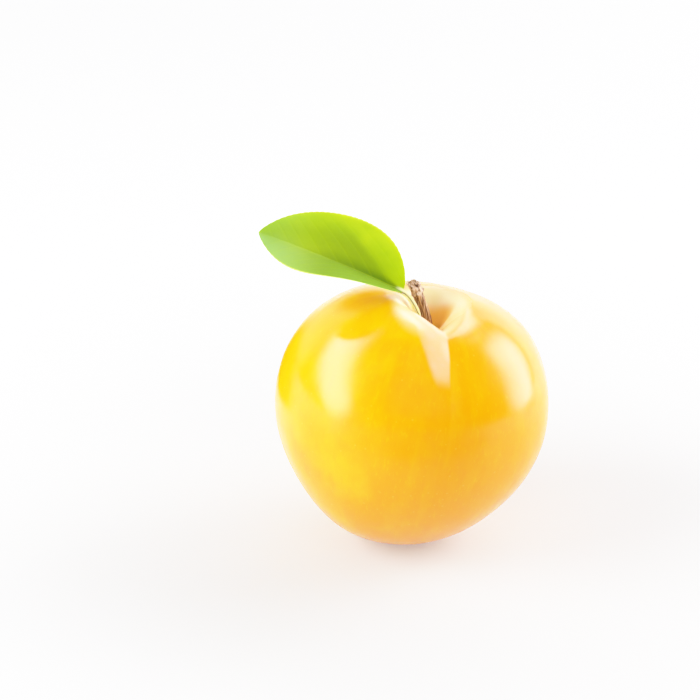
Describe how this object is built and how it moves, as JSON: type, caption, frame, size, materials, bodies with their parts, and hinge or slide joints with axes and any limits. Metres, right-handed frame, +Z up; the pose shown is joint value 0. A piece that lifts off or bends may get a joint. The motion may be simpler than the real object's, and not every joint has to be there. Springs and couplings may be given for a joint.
{
  "type": "plum",
  "caption": "Round yellow plum with a stem cavity, a suture crease, a woody stem and one green leaf, resting on a small flat spot.",
  "frame": {"origin": "middle of the small flat spot that the fruit rests on", "axes": "+Z up, away from the surface it rests on; the suture faces -Y and the leaf reaches out to -X"},
  "size_m": [0.0542, 0.052, 0.0625],
  "materials": {
    "skin": "satin",
    "stem": "matte",
    "leaf": "satin"
  },
  "bodies": {
    "root": {"fruit": "skin", "stem": "stem", "leaf": "leaf"}
  },
  "joints": []
}
